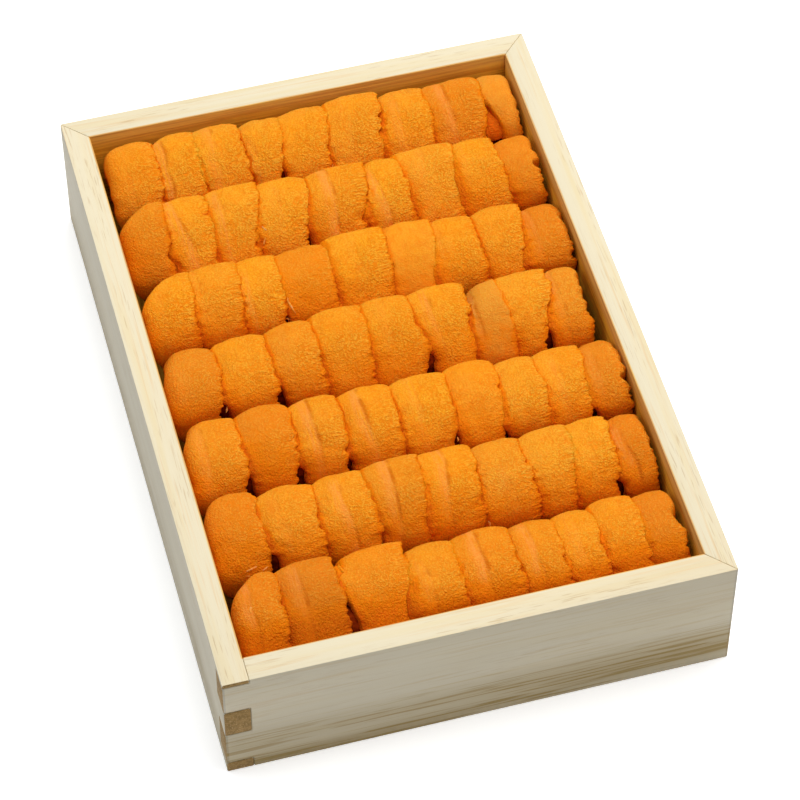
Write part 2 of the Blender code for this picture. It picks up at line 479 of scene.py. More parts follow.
def select_faces(block, wanted):
    """Selects the faces whose middle and normal the test wants."""
    bm = bmesh.from_edit_mesh(block.data)
    for face in bm.faces:
        face.select_set(False)
    for face in bm.faces:
        if wanted(face.calc_center_median(), face.normal):
            face.select_set(True)
    bm.select_flush_mode()
    bmesh.update_edit_mesh(block.data)


def cut(place, normal, remove=False):
    """Cuts the block by a plane, and takes off what is in front of it if asked."""
    bpy.ops.mesh.select_all(action="SELECT")
    bpy.ops.mesh.bisect(plane_co=place, plane_no=normal, use_fill=remove, clear_outer=remove)


def mitre(corner, side, joint):
    """Cuts off what lies past the corner on a side, given as -1 or 1 in X and in Y."""
    shift = joint / 2 / math.sqrt(2)
    place = (corner[0] - side[0] * shift, corner[1] - side[1] * shift, 0.0)
    cut(place, (*side, 0.0), remove=True)


def finish_board(block, side, materials, tray, ends=None):
    """Eases the edges, gives the faces their materials and hands the board over.

    The faces whose middle and normal the test called ends wants get the second material.
    """
    bpy.ops.mesh.select_all(action="SELECT")
    bpy.ops.mesh.dissolve_limited(angle_limit=math.radians(1.0))
    bpy.ops.mesh.select_all(action="SELECT")
    bpy.ops.mesh.normals_make_consistent(inside=False)
    bpy.ops.object.mode_set(mode="OBJECT")
    bevel = block.modifiers.new("eased edges", "BEVEL")
    bevel.width = tray.edge
    bevel.segments = 2
    bevel.limit_method = "ANGLE"
    bevel.angle_limit = math.radians(40)
    bpy.ops.object.modifier_apply(modifier=bevel.name)
    for material in materials:
        block.data.materials.append(material)
    if ends:
        for face in block.data.polygons:
            face.material_index = 1 if ends(face.center, face.normal) else 0
    bpy.ops.object.shade_smooth_by_angle(angle=math.radians(30))
    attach(block, "root")
    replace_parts(block, f"board_{side}")


def make_fingered_board(side, high, axis, marks, spans, mitred, materials, tray):
    """A board that runs along an axis, 0 for X and 1 for Y, from the front left corner.

    It is cut across at the marks, and the spans between them grow out as fingers.
    """
    low = [-WIDTH / 2, -LENGTH / 2, 0.0]
    corner = low[axis]
    low[axis] = corner + WALL + tray.joint
    reach = [0.0, 0.0, 0.0]
    reach[axis] = corner - low[axis]
    block = add_block(f"tray_board_{side}", low, high)
    for height in marks:
        cut((0.0, 0.0, height), (0.0, 0.0, 1.0))
    for bottom, top in spans:
        select_faces(block, lambda place, normal: normal[axis] < -0.9 and bottom < place.z < top)
        bpy.ops.mesh.extrude_region_move(TRANSFORM_OT_translate={"value": reach})
    mitre(mitred, (1, 1), tray.joint)

    def ends(place, normal):
        return normal[axis] < -0.9 and place[axis] < corner + MM

    finish_board(block, side, materials, tray, ends)


def make_boards(tray, wood_x, wood_y, end_grain):
    """The two boards of the finger joint, and then the other three."""
    left, right, front, back = -WIDTH / 2, WIDTH / 2, -LENGTH / 2, LENGTH / 2
    inset = WALL + tray.joint
    # The front board's fingers, and the spaces for them in the left board
    ease = (-tray.joint / 2, tray.joint / 2)
    fingers = [share * HEIGHT + ease[(i + 1) % 2] for i, share in enumerate(FINGERS)]
    spaces = [share * HEIGHT + ease[i % 2] for i, share in enumerate(FINGERS)]
    high, mitred = (right, front + WALL, HEIGHT), (right, front)
    spans = (fingers[:2], fingers[2:])
    wood = [wood_x, end_grain]
    make_fingered_board("front", high, 0, fingers, spans, mitred, wood, tray)
    high, mitred = (left + WALL, back, HEIGHT), (left, back)
    spans = ((0.0, spaces[0]), spaces[1:3], (spaces[3], HEIGHT))
    wood = [wood_y, end_grain]
    make_fingered_board("left", high, 1, spaces, spans, mitred, wood, tray)
    # Corners, wood, and the mitres: where they start and which way they face
    plain = {
        "right": (
            (right - WALL, front, 0.0),
            (right, back, HEIGHT),
            wood_y,
            (((right, front), (-1, -1)), ((right, back), (-1, 1))),
        ),
        "back": (
            (left, back - WALL, 0.0),
            (right, back, HEIGHT),
            wood_x,
            (((left, back), (-1, -1)), ((right, back), (1, -1))),
        ),
        "bottom": (
            (left + inset, front + inset, 0.0),
            (right - inset, back - inset, FLOOR),
            wood_y,
            (),
        ),
    }
    for side, (low, high, wood, mitres) in plain.items():
        block = add_block(f"tray_board_{side}", low, high)
        for corner, way in mitres:
            mitre(corner, way, tray.joint)
        finish_board(block, side, [wood], tray)


# ---------------------------------------------------------------------- roe

# Section of a tongue, left to right over its top and back under it: share of its width
# and depth under its outer skin, in millimetres. Under 0 it lies under its left neighbour.
# The free sides are those of a row's end tongues.
LEFT_SINK = 1.8
RIGHT_SINK = 1.6
LEFT_TOP = (
    (-0.20, 3.6), (-0.13, 2.8), (-0.06, 2.2), (0.0, LEFT_SINK), (0.06, 1.35),
    (0.14, 0.88), (0.25, 0.42), (0.38, 0.12), (0.50, 0.0),
)
RIGHT_TOP = ((0.62, 0.04), (0.74, 0.2), (0.85, 0.54), (0.93, 0.95), (0.98, 1.35), (1.0, RIGHT_SINK))
RIGHT_UNDER = ((0.985, 1.95), (0.94, 2.5), (0.86, 3.1), (0.78, 3.8), (0.6, 4.2))
LEFT_UNDER = ((0.35, 4.3), (0.05, 4.3), (-0.12, 4.2), (-0.20, 3.6))
FREE_LEFT_TOP = (
    (0.0, 5.4), (0.0, 4.2), (0.02, 3.1), (0.05, 2.2), (0.10, 1.45),
    (0.17, 0.85), (0.26, 0.42), (0.38, 0.12), (0.50, 0.0),
)
FREE_LEFT_UNDER = ((0.35, 5.4), (0.15, 6.2), (0.04, 6.2), (0.0, 5.4))
FREE_RIGHT_TOP = ((0.66, 0.05), (0.80, 0.25), (0.90, 0.65), (0.96, 1.2), (0.99, 2.0), (1.0, 3.2))
FREE_RIGHT_UNDER = ((0.99, 4.6), (0.95, 5.8), (0.85, 6.3), (0.7, 6.2), (0.55, 5.4))


def evenly(points, count):
    """The line through the points, rounded, as count + 1 points at even steps along it."""
    samples, smoothings = 400, 12
    points = np.array(points, float)
    scaled = points * (USUAL_WIDTH, 1.0)
    far = np.concatenate([[0.0], np.cumsum(np.hypot(*np.diff(scaled, axis=0).T))])
    fine = np.linspace(0.0, far[-1], samples)
    line = np.stack([np.interp(fine, far, points[:, k]) for k in (0, 1)], axis=1)
    for _ in range(smoothings):
        line[1:-1] = (line[:-2] + 2 * line[1:-1] + line[2:]) / 4
    return line[np.linspace(0, samples - 1, count + 1).round().astype(int)]


def section(first=False, last=False):
    """Share of width and sink, each with AROUND + 1 points, closed."""
    top = (FREE_LEFT_TOP if first else LEFT_TOP) + (FREE_RIGHT_TOP if last else RIGHT_TOP)
    right_under = FREE_RIGHT_UNDER if last else RIGHT_UNDER
    left_under = FREE_LEFT_UNDER if first else LEFT_UNDER
    upper = evenly(top, AROUND_TOP)
    lower = evenly((top[-1], *right_under, *left_under), AROUND - AROUND_TOP)
    return np.concatenate([upper, lower[1:]]).T


def superellipse(angle):
    """Shares of the arch's half depth and rise, at angles from its back to its front."""
    power = 2 / np.where(angle < math.pi / 2, ARCH_FULLNESS, FRONT_FULLNESS)
    along = np.sign(np.cos(angle)) * abs(np.cos(angle)) ** power
    return along, np.sin(angle).clip(0) ** power


def arch_stations():
    """Three lines of ALONG + 1 values from the back tip of the arch to its front tip.

    They are the angle over the arch, the depth of the foot under the spring, and the
    distance from the crest.
    """
    samples = 4000
    fine = np.linspace(0.0, math.pi, samples)
    along, up = superellipse(fine)
    y, z = USUAL_REACH * along, ARCH_HEIGHT * up
    far = np.concatenate([[0.0], np.cumsum(np.hypot(np.diff(y), np.diff(z)))])
    steps = ALONG - 2 * FOOT_STEPS
    even = np.linspace(0.0, far[-1], steps + 1)
    angle = np.interp(even, far, fine)
    # The steps of the foot get longer downwards.
    drop = FOOT * (np.arange(FOOT_STEPS, 0, -1) / FOOT_STEPS) ** 1.3
    angles = np.concatenate([np.zeros(FOOT_STEPS), angle, np.full(FOOT_STEPS, math.pi)])
    drops = np.concatenate([drop, np.zeros(steps + 1), drop[::-1]])
    from_crest = even - far[-1] / 2
    crest = np.concatenate([from_crest[0] - drop, from_crest, from_crest[-1] + drop[::-1]])
    return angles, drops, crest


ANGLES, DROPS, FROM_CREST = arch_stations()
FRONT = FROM_CREST[-1 - FOOT_STEPS]
# How far open the section is along the arch. It closes at the tips.
OPEN = np.sqrt(1 - (DROPS / FOOT).clip(0, 1) ** 2)


def row_back(row):
    """The place of a row's back, in millimetres from the tray's middle."""
    return (LENGTH / 2 - WALL - SPACE) / MM - sum(ROW_DEPTHS[:row])


def on_arch(row, sink, lift, lean, angles=ANGLES, drops=DROPS):
    """Y and Z in millimetres of points sunk under the outer skin of a row's arch.

    The arrays run round the section and along the arch, unless other angles are given.
    """
    depth = ROW_DEPTHS[row]
    middle = row_back(row) - depth / 2
    reach = (depth - SPACE / MM) / 2
    spring = RIM - CREST_BELOW_RIM - ARCH_HEIGHT
    along, up = superellipse(angles)
    off = (reach - SIDE_SINK * sink) * along + lean * up
    share = off / reach
    off = reach * share / (1 + abs(share) ** STOP) ** (1 / STOP)
    return middle + off, spring + (ARCH_HEIGHT + lift - sink) * up - drops


# The tables from here on give lengths in millimetres: places across the tray are right of
# its middle, and places along a tongue are in front of its crest. Their keys count rows
# from 1 at the back, and tongues, or the creases on their right, from 1 at the left.

# The creases between the tongues of each row, left to right: where one lies at the row's
# crest and at its front, and how deeply it notches the crest
CREASES = (
    ((-37.3, -37.5, 1.0), (-27.3, -27.3, 0.3), (-16.3, -15.8, 1.0), (-6.6, -8.0, 0.3),
     (5.2, 3.4, 0.7), (18.3, 16.6, 0.6), (29.5, 29.3, 0.5), (43.3, 44.0, 0.2)),
    ((-39.6, -39.3, 0.3), (-28.8, -29.4, 0.7), (-16.8, -19.0, 0.2), (-4.9, -6.8, 1.0),
     (9.2, 7.3, 0.2), (17.8, 18.7, 0.5), (31.4, 30.6, 0.3), (41.2, 42.6, 0.7)),
    ((-38.0, -39.0, 0.4), (-27.0, -28.2, 0.3), (-17.5, -18.4, 0.4), (-5.0, -5.3, 0.6),
     (8.6, 7.9, 0.3), (20.0, 18.0, 0.2), (30.0, 30.0, 0.9), (41.3, 39.6, 0.4)),
    ((-37.8, -38.3, 1.1), (-25.6, -25.0, 0.9), (-14.3, -14.0, 0.7), (-2.3, -3.0, 0.7),
     (8.6, 10.4, 1.0), (22.0, 21.0, 1.1), (29.9, 30.6, 0.3), (41.5, 39.0, 0.3)),
    ((-37.6, -37.6, 1.0), (-25.4, -26.0, 1.2), (-14.0, -14.8, 1.2), (-1.7, -2.2, 1.0),
     (10.9, 10.2, 1.0), (22.6, 21.5, 0.6), (32.0, 31.6, 0.3), (42.7, 42.0, 0.3)),
    ((-38.8, -37.5, 1.4), (-26.1, -26.1, 1.2), (-13.7, -13.4, 0.6), (-1.0, -3.0, 0.2),
     (11.0, 10.0, 0.7), (22.0, 22.7, 0.8), (33.3, 31.0, 0.2), (42.3, 41.8, 0.4)),
    ((-39.2, -39.7, 1.5), (-26.3, -25.0, 0.6), (-10.8, -11.3, 0.3), (-0.1, 0.0, 0.6),
     (12.7, 13.5, 0.8), (23.3, 23.4, 0.3), (32.2, 32.6, 0.7), (42.0, 42.5, 0.3)),
)
# Gaps that open between two tongues towards the front: width there, where they start, and
# how far the right tongue draws back at the rear
GAPS = {
    (1, 4): (1.4, 6.0, 0.0),
    (1, 5): (0.7, 8.0, 0.0),
    (1, 8): (4.4, -2.0, 0.0),
    (2, 1): (0.8, 9.0, 0.0),
    (2, 4): (1.0, 6.0, 0.0),
    (2, 5): (0.7, 8.0, 0.0),
    (3, 3): (1.6, 8.0, 0.0),
    (4, 1): (2.4, 8.0, 0.0),
    (4, 2): (2.0, 6.5, 0.0),
    (4, 5): (2.2, 9.0, 0.0),
    (4, 6): (0.4, 4.0, 0.0),
    (4, 8): (1.8, 5.0, 0.0),
    (5, 1): (1.9, 8.0, 0.0),
    (5, 2): (2.1, 8.0, 0.0),
    (5, 3): (1.4, 8.0, 0.0),
    (5, 5): (1.7, 8.0, 0.0),
    (5, 6): (1.3, 8.0, 0.0),
    (5, 8): (2.3, 7.0, 0.0),
    (6, 1): (2.2, 7.0, 0.0),
    (6, 3): (0.9, 9.0, 0.0),
    (6, 8): (1.9, 6.0, 0.0),
    (7, 2): (2.6, 0.0, 2.4),
}
USUAL_GAP = (0.0, 9.0, 0.0)
# The line down a tongue, left of which it is smoother: place at the crest and at the front,
# how strong it is, and where it starts and ends
GROOVES = {
    (1, 1): (-44.0, -44.3, 0.25, -1, 10),
    (1, 2): (-35.2, -35.2, 0.7, -6, 12),
    (1, 3): (-23.2, -23.3, 0.5, -9, 5),
    (1, 4): (-14.3, -14.0, 0.4, 1, 12),
    (1, 6): (10.3, 10.2, 0.3, -9, 12),
    (1, 7): (22.2, 22.0, 0.5, -2, 12),
    (1, 8): (34.2, 34.9, 1.0, -12, 14),
    (2, 2): (-37.0, -34.3, 0.8, -9, 14),
    (2, 3): (-25.8, -25.6, 0.6, -4, 9),
    (2, 4): (-12.3, -12.4, 0.3, -6, 4),
    (2, 5): (0.5, -0.1, 0.9, -12, 13),
    (2, 6): (10.6, 12.6, 0.7, -2, 13),
    (2, 7): (23.7, 23.6, 0.35, -6, 8),
    (2, 8): (33.3, 33.0, 0.3, -9, 3),
    (3, 1): (-45.4, -45.4, 0.3, -1, 9),
    (3, 2): (-36.3, -36.6, 0.3, -10, 9),
    (3, 3): (-25.0, -25.6, 0.55, -2, 13),
    (3, 5): (1.3, 1.4, 0.3, -8, 6),
    (3, 7): (21.3, 20.3, 0.3, -9, 6),
    (3, 9): (43.7, 43.3, 0.5, -10, 3),
    (4, 1): (-46.0, -46.0, 0.35, -2, 9),
    (4, 2): (-33.6, -33.4, 0.3, -3, 9),
    (4, 3): (-21.2, -21.4, 0.3, -6, 1),
    (4, 5): (2.6, 2.8, 0.3, -6, 7),
    (4, 6): (13.6, 14.0, 0.6, -4, 1),
    (4, 7): (23.3, 23.3, 0.7, -3, 9),
    (4, 9): (43.2, 43.6, 0.5, -8, 12),
    (5, 1): (-46.0, -46.2, 0.55, -6, 9),
    (5, 2): (-35.0, -34.6, 0.2, -6, 6),
    (5, 3): (-21.2, -20.8, 0.9, -9, 10),
    (5, 4): (-9.3, -8.5, 0.9, -8, 9),
    (5, 5): (3.6, 3.5, 0.4, -8, 6),
    (5, 8): (36.4, 36.6, 0.4, -4, 8),
    (5, 9): (45.0, 45.0, 0.4, -6, 10),
    (6, 2): (-34.0, -33.2, 0.35, -4, 6),
    (6, 3): (-20.1, -19.1, 0.8, -4, 13),
    (6, 4): (-8.1, -8.9, 1.0, -8, 13),
    (6, 5): (4.2, 2.8, 0.8, -9, 13),
    (6, 6): (16.6, 17.8, 0.4, 3, 13),
    (6, 8): (37.0, 37.0, 0.3, -4, 8),
    (6, 9): (44.5, 46.3, 0.9, -3, 11),
    (7, 1): (-46.0, -45.9, 0.8, -5, 12),
    (7, 2): (-34.3, -34.2, 1.1, -4, 13),
    (7, 4): (-7.4, -7.3, 0.5, -2, 12),
    (7, 5): (5.2, 5.4, 1.0, -12, 12),
    (7, 6): (17.2, 17.4, 0.7, -12, 9),
    (7, 7): (27.4, 27.6, 0.4, -9, 9),
}
# Tongues that stand out by how warm, dull, grainy, shaded or dark they are. Shade is painted
# shade, and under 0 painted light; dark is partly a darker tongue and partly painted shade near the
# ends of the rows.
MARKS = {
    (1, 1): {"warmth": 0.6, "shade": -0.3},
    (1, 2): {"warmth": 0.0, "dullness": 0.1, "shade": -0.35},
    (1, 3): {"warmth": 0.0, "dullness": 0.2, "shade": -0.35},
    (1, 4): {"warmth": 0.0, "shade": -0.35},
    (1, 6): {"shade": -0.15},
    (1, 8): {"warmth": 1.2, "shade": 0.1, "dark": 0.08},
    (1, 9): {"dullness": 0.5, "warmth": 0.9, "grain": 0.4, "dark": 0.1},
    (2, 1): {"warmth": 1.0, "grain": 0.85, "shade": 0.1, "dark": 0.1},
    (2, 2): {"warmth": 0.1, "shade": -0.15},
    (2, 3): {"warmth": 0.0},
    (2, 4): {"warmth": 0.0, "dullness": 0.15, "shade": -0.25},
    (2, 5): {"warmth": 0.4},
    (2, 6): {"warmth": 0.0, "dullness": 0.1, "shade": -0.15},
    (2, 7): {"dullness": 0.4, "warmth": 0.0},
    (2, 9): {"grain": 0.6, "warmth": 1.2, "dullness": 0.2, "shade": 0.05, "dark": 0.12},
    (3, 3): {"warmth": 0.1, "shade": -0.2},
    (3, 4): {"warmth": 1.1, "shade": 0.2},
    (3, 5): {"warmth": 0.0},
    (3, 6): {"grain": 0.4, "dullness": 0.2, "warmth": 0.4, "dark": 0.08},
    (3, 9): {"warmth": 1.5, "shade": 0.05, "dark": 0.12},
    (4, 1): {"dullness": 0.3, "warmth": 1.2, "shade": 0.1, "dark": 0.08},
    (4, 3): {"warmth": 0.75},
    (4, 6): {"warmth": 0.0, "dullness": 0.2},
    (4, 7): {"dullness": 0.9, "warmth": 0.7, "grain": 0.5, "dark": 0.08},
    (4, 8): {"warmth": 0.0, "dullness": 0.35},
    (4, 9): {"warmth": 0.8, "dullness": 0.6, "dark": 0.03},
    (5, 1): {"warmth": 0.8},
    (5, 2): {"warmth": 1.3, "dullness": 0.1, "grain": 0.85, "shade": 0.1, "dark": 0.03},
    (5, 5): {"warmth": 0.0},
    (5, 6): {"warmth": 0.6, "grain": 0.6},
    (5, 7): {"warmth": 0.0, "dullness": 0.35},
    (5, 9): {"dullness": 0.2, "warmth": 1.3, "shade": 0.05, "dark": 0.11},
    (6, 1): {"warmth": 1.4, "shade": 0.1, "dark": 0.06},
    (6, 2): {"warmth": 0.6},
    (6, 4): {"warmth": 0.7, "dark": 0.08},
    (6, 6): {"dullness": 0.4, "warmth": 0.4},
    (6, 7): {"dullness": 0.4, "warmth": 0.0},
    (6, 8): {"warmth": 0.0, "dullness": 0.2},
    (6, 9): {"warmth": 1.5, "dullness": 0.1, "shade": 0.05, "dark": 0.17},
    (7, 1): {"warmth": 1.5, "dark": 0.06},
    (7, 2): {"warmth": 1.4, "grain": 0.8, "dullness": 0.2, "shade": 0.05, "dark": 0.24},
    (7, 3): {"warmth": 1.0},
    (7, 4): {"warmth": 0.6, "dark": 0.04},
    (7, 5): {"warmth": 1.0},
    (7, 6): {"warmth": 0.8, "dark": 0.06},
    (7, 8): {"warmth": 0.6},
    (7, 9): {"warmth": 1.5, "dullness": 0.1, "shade": 0.05, "dark": 0.12},
}
# Tongues whose left side is darker than usual
SHADED = {(5, 2): 2.0, (6, 5): 1.5, (7, 2): 2.2, (7, 6): 1.5}
# How dark the foot of each row is beside the usual
FOOT_SHADES = (0.0, 0.5, 0.8, 1.0, 1.0, 1.2, 2.5)
# How far the left end of a row draws back at the rear, how far it slopes down, and how far
# it stands off its usual place beside the wall
LEFT_ENDS = {
    1: (0.0, 0.3, 0.7),
    2: (9.0, 1.0, -0.6),
    3: (7.0, 0.4, -0.6),
    6: (2.0, 0.2, -0.8),
    7: (5.0, 0.4, -0.6),
}
USUAL_END = (2.0, 0.0, -0.8)
# How far the right end of each row stands back from its usual place
RIGHT_ENDS = (-0.5, -0.1, -0.7, 1.4, -0.8, 0.0, 0.2)
# Bites out of the right edge of a tongue, and bulges where the depth is under 0: place
# along the tongue, depth and half length
BITES = {
    (1, 3): ((-1.0, 0.4, 1.0), (4.5, 0.7, 0.8)),
    (1, 6): ((3.0, 0.6, 0.9), (7.5, 0.8, 0.8)),
    (2, 1): ((9.5, 1.5, 1.5), (7.6, 0.5, 0.5)),
    (2, 2): ((-4.0, 0.9, 0.7), (1.0, 1.8, 0.35)),
    (2, 3): ((8.0, 0.9, 0.8), (11.0, 1.7, 0.9)),
    (2, 5): ((9.5, 1.4, 1.3),),
    (2, 9): ((2.5, 1.6, 1.1), (5.5, 0.6, 0.6)),
    (3, 3): ((1.8, 0.5, 0.6),),
    (4, 9): ((1.5, 1.0, 1.2), (10.0, -0.6, 1.0)),
    (5, 3): ((8.0, 0.8, 0.7),),
    (5, 6): ((1.2, 0.8, 0.8),),
    (5, 9): ((2.5, 1.2, 1.0), (0.0, -0.5, 1.0)),
    (6, 6): ((0.2, 0.7, 0.6), (4.8, 0.8, 0.7)),
    (7, 3): ((6.5, 1.1, 0.45),),
    (7, 5): ((4.0, 0.9, 0.6),),
    (7, 6): ((2.5, 0.9, 0.9),),
    (7, 8): ((9.5, 1.2, 0.7),),
    (7, 9): ((-1.5, 0.5, 1.5), (3.5, -0.4, 1.5), (8.0, -0.7, 0.5)),
}
# Creases whose edges are torn and pitted, and how much
TORN = {
    (1, 1): 0.4, (1, 2): 0.6, (1, 3): 0.8, (1, 6): 0.9, (1, 7): 0.4,
    (2, 1): 0.9, (2, 3): 0.9, (2, 5): 0.9, (2, 6): 0.6, (2, 8): 0.4,
    (3, 1): 0.6, (3, 2): 0.8, (3, 4): 0.5, (3, 6): 0.5, (3, 7): 0.5, (3, 8): 0.7,
    (4, 4): 0.6, (4, 6): 0.5, (4, 7): 0.4, (4, 8): 0.5,
    (5, 3): 0.5, (5, 4): 0.5, (5, 5): 0.7, (5, 6): 0.6, (5, 7): 0.6, (5, 8): 0.5,
    (6, 3): 0.6, (6, 4): 0.8, (6, 5): 0.5, (6, 6): 0.8, (6, 7): 0.6, (6, 8): 0.8,
    (7, 1): 0.6, (7, 2): 0.6, (7, 3): 0.8, (7, 4): 0.8, (7, 5): 0.7, (7, 6): 0.7, (7, 7): 0.7,
    (7, 8): 0.5,
}
# Tongues whose right edge is more ragged than usual
FRAYED = {
    (2, 2): 1.4, (2, 4): 1.2, (4, 6): 1.3, (4, 8): 1.6, (4, 9): 1.6, (6, 6): 1.3, (7, 9): 1.3,
}
# Tongues whose rear lies lower than their neighbours', and how far at their left
LOW_REARS = {(4, 7): 2.6, (7, 3): 0.4}


def crest_lifts(row, chance):
    """How far the crest of each tongue of a row stands over the usual one, left to right."""
    half = ROW_SPAN / 2
    lines = [-half] + [crest for crest, _, _ in CREASES[row]] + [half]
    lifts = []
    for left, right in zip(lines, lines[1:]):
        off_middle = (left + right) / 2 / half
        uneven = chance.uniform(-CREST_UNEVEN, CREST_UNEVEN)
        lifts.append(uneven - CREST_CROWN * off_middle**2)
    return lifts


def between(crest, front):
    """From one value at a row's crest to another at its front, for each step along it."""
    return crest + (front - crest) * smooth(FROM_CREST, -3.0, 11.0)


def crease_line(row, crease, rough):
    """Where a crease lies, left to right, for each step along the arch."""
    wander = 0.3 * rough.noise(FROM_CREST / 4.0, 17.3 + 9 * row + crease)
    if crease in (0, TONGUES):
        return (1 if crease else -1) * ROW_SPAN / 2 + wander
    crest, front, _ = CREASES[row][crease - 1]
    back_slant = 0.8 * rough.noise(31.7 * (crease + 1), 5.1 * (row + 1))
    return between(crest, front) + back_slant * smooth(-FROM_CREST, 2.0, FRONT) + wander


def crease_depth(row, crease, rough):
    """How deep a crease is along the arch, as a share of the usual depth."""
    if crease in (0, TONGUES):
        return np.ones_like(FROM_CREST)
    notch = CREASES[row][crease - 1][2]
    face = 0.22 + 0.6 * min(notch, 1.0)
    depth = notch + (face - notch) * smooth(abs(FROM_CREST), 0.5, 6.0)
    depth = depth + 0.35 * smooth(abs(FROM_CREST), 8.0, 12.5)
    uneven = rough.noise(FROM_CREST / 1.3, 7.9 * crease + 3.3 * row)
    return depth * (1 + 0.15 * uneven * smooth(FROM_CREST, -3.0, 3.0))


def opening(row, crease):
    """Half the width of the gap at a crease, and how far the tongue on its right draws
    back at the rear, for each step along the arch."""
    width, start, corner = GAPS.get((row + 1, crease), USUAL_GAP)
    half = width / 2 * smooth(FROM_CREST, start, 13.0)
    half = half + 0.4 * smooth(-FROM_CREST, 9.0, FRONT + 1.0)
    return half, corner * smooth(-FROM_CREST, 0.0, 5.0)


def side_weights(sinks):
    """How much of the left and of the right crease's depth is in each point of a section."""
    step = np.arange(AROUND + 1)
    top_step = sinks[:AROUND_TOP + 1].argmin()
    over, under = step <= AROUND_TOP, smooth(step, AROUND_TOP, AROUND_TURN)
    left = np.where(step <= top_step, (sinks / LEFT_SINK).clip(0, 1), 0.0)
    left = np.maximum(left, smooth(step, AROUND_TURN, AROUND - 1))
    right = np.where((step > top_step) & over, (sinks / RIGHT_SINK).clip(0, 1), 0.0)
    right = right + np.where(over, 0.0, 1 - under)
    return left[:, None], right[:, None]


class Tongue:
    """The skin of one tongue, in arrays that run round its section and along its arch.

    Each step of its making moves the points across, in x, or sinks them under the outer
    skin of the arch. Lengths are in millimetres.
    """

    def __init__(self, row, place, lift, rough):
        self.row, self.place, self.lift = row, place, lift
        self.rough = rough
        self.key = (row + 1, place + 1)
        self.first, self.last = place == 0, place == TONGUES - 1
        self.marks = {
            "dullness": 0.1 + 0.1 * rough.noise(7.7 * place, 3.1 * row),
            "warmth": 0.26 + 0.12 * rough.noise(4.3 * place + 0.5, 6.7 * row) + 0.02 * row,
            "grain": 0.9,
            "shade": 0.0,
            "dark": 0.0,
            **MARKS.get(self.key, {}),
        }
        step = np.arange(AROUND + 1)[:, None]
        self.on_top = smooth(step, 2, 6) * (1 - smooth(step, AROUND_TOP + 2, AROUND_TURN))

    def make(self, fray):
        """The points in metres, and the channels of their paint."""
        self.lay()
        self.fray(fray)
        self.tear()
        self.draw_groove()
        self.raise_grain()
        middle = (self.left + self.right) / 2
        self.x = middle + (self.x - middle) * OPEN
        self.sinks = TIP_SINK + (self.sinks - TIP_SINK) * OPEN
        y, z = on_arch(self.row, self.sinks, self.lift, TONGUE_LEANS[self.row][self.place])
        points = np.stack(np.broadcast_arrays(self.x, y, z), axis=-1) * MM
        return points, self.paint()

    def lay(self):
        """Lays the section between the creases and gaps on either side."""
        row, place, rough = self.row, self.place, self.rough
        shares, sinks = section(self.first, self.last)
        left_weight, right_weight = side_weights(sinks)
        shares, sinks = shares[:, None], sinks[:, None]
        if self.first:
            corner, slope, left_gap = LEFT_ENDS.get(row + 1, USUAL_END)
            left_corner = corner * (-FROM_CREST / 9).clip(0, 1) ** 1.7
            slope = slope * (1 - shares / 0.6).clip(0) ** 1.5
        else:
            left_gap, left_corner = opening(row, place)
            slope = 0.0
            sinks = sinks + left_weight * LEFT_SINK * (crease_depth(row, place, rough) - 1)
        if self.last:
            right_gap = RIGHT_ENDS[row]
        else:
            right_gap = opening(row, place + 1)[0]
            sinks = sinks + right_weight * RIGHT_SINK * (crease_depth(row, place + 1, rough) - 1)
        self.left = crease_line(row, place, rough) + left_gap + left_corner
        self.right = crease_line(row, place + 1, rough) - right_gap
        width = self.right - self.left
        # Beside a gap less of the tongue is tucked under its left neighbour.
        tucked = USUAL_WIDTH * (1 - 0.75 * smooth(left_gap, 0.1, 0.7))
        self.x = self.left + shares.clip(0) * width + shares.clip(None, 0) * tucked
        # Share of the width from the left, place in front of the crest, and 1 where the
        # front has come down from the crest
        self.across = (self.x - self.left) / width
        self.ahead = FROM_CREST[None, :] + 0 * self.x
        self.low = smooth(self.ahead, -4.0, 5.0)
        rear = LOW_REARS.get(self.key, 0.0) * smooth(-self.ahead, -1.0, 6.0)
        self.sinks = sinks + slope + rear * (1 - 0.8 * self.across.clip(0, 1))
        # Where the tongue lies on the sheet of noise
        self.noise_x = self.x + 37.0 * place
        self.noise_y = self.ahead + 53.0 * row

    def fray(self, amount):
        """Roughens the right edge with small teeth, deeper notches and bites."""
        row, place, noise, y = self.row, self.place, self.rough.noise, self.noise_y
        teeth = noise(y / 0.62, 11.1 * place + 2.3 * row)
        self.teeth = teeth + 0.7 * noise(y / 1.4, 3.7 * place + 0.9)
        rag = noise(y / 3.1, 23.0 + place + 10 * row)
        notch = smooth(noise(y / 1.7, 57.0 + 3 * place), 0.5, 0.95) * (0.4 + 0.6 * self.low)
        ragged = 0.22 * self.teeth * (0.7 + 0.5 * self.low) + 0.4 * rag - 0.4 * notch
        self.edge = smooth(self.across, 0.82, 1.0) * self.on_top
        self.x = self.x + self.edge * ragged * (amount * FRAYED.get(self.key, 1.0))
        for where, bite, half_length in BITES.get(self.key, ()):
            bite = bite * smooth(self.across, 0.7, 1.0)
            self.x = self.x - bite * near(self.ahead - where, half_length)

    def tear(self):
        """Pits the torn strips beside the creases."""
        noise, x, y = self.rough.noise, self.noise_x, self.noise_y
        row, crease = self.key
        left = TORN.get((row, crease - 1), 0.25) * near(self.x - self.left, 1.3)
        right = TORN.get((row, crease), 0.25) * near(self.right - self.x, 0.9)
        torn = left * (not self.first) + right * (not self.last)
        torn = torn * smooth(self.ahead, -5.0, 3.0) * self.on_top
        self.torn = torn * smooth(noise(x / 0.9, y / 1.1) + 0.4 * noise(x, y / 4.0), -0.1, 0.6)

